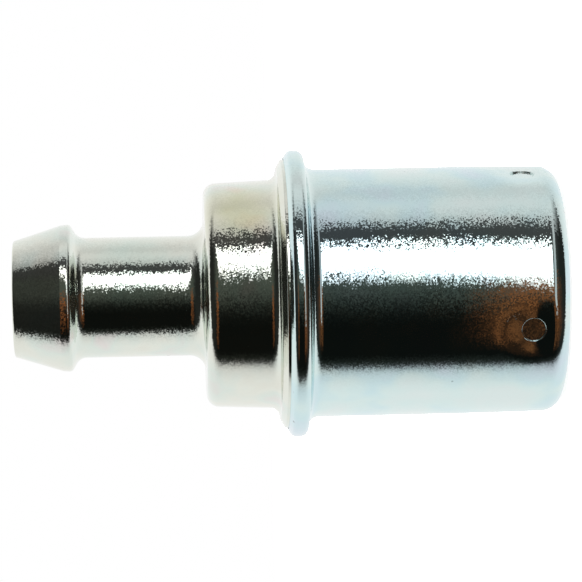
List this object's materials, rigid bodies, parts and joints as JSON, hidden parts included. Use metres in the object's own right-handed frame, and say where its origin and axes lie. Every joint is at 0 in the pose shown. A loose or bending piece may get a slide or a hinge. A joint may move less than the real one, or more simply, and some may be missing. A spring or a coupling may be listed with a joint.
{
  "type": "pcv valve",
  "caption": "Round metal crankcase ventilation valve: a smooth shell that pushes into a rubber grommet, a crimped bead, a stepped neck with a hollow hose barb, and a sprung plunger inside.",
  "frame": {"origin": "centre of the flat inlet end, on the surface that the valve stands on", "axes": "+Z along the valve's axis from the inlet end towards the hose barb; +X and +Y through two neighbouring stake marks"},
  "size_m": [0.0228, 0.0228, 0.0433],
  "materials": {
    "shell_plate": "bright zinc plate with a cool blue cast",
    "fitting_plate": "bright zinc plate, neutral to warm",
    "inner_steel": "plain pressed steel with an oil film",
    "plunger_steel": "turned steel",
    "spring_wire": "drawn spring wire"
  },
  "bodies": {
    "valve_body": {"inlet_shell": "shell_plate", "outlet_fitting": "fitting_plate", "metering_plate": "inner_steel", "inlet_seat": "inner_steel", "plunger_spring": "spring_wire"},
    "plunger": {"plunger": "plunger_steel"}
  },
  "joints": [
    {"name": "plunger_slide", "type": "slide", "parent": "valve_body", "child": "plunger", "axis": [0, 0, 1], "range_m": [0, 0.005], "stiffness_N_per_m": 60, "springref_m": -0.004, "deforming": ["plunger_spring"]}
  ]
}
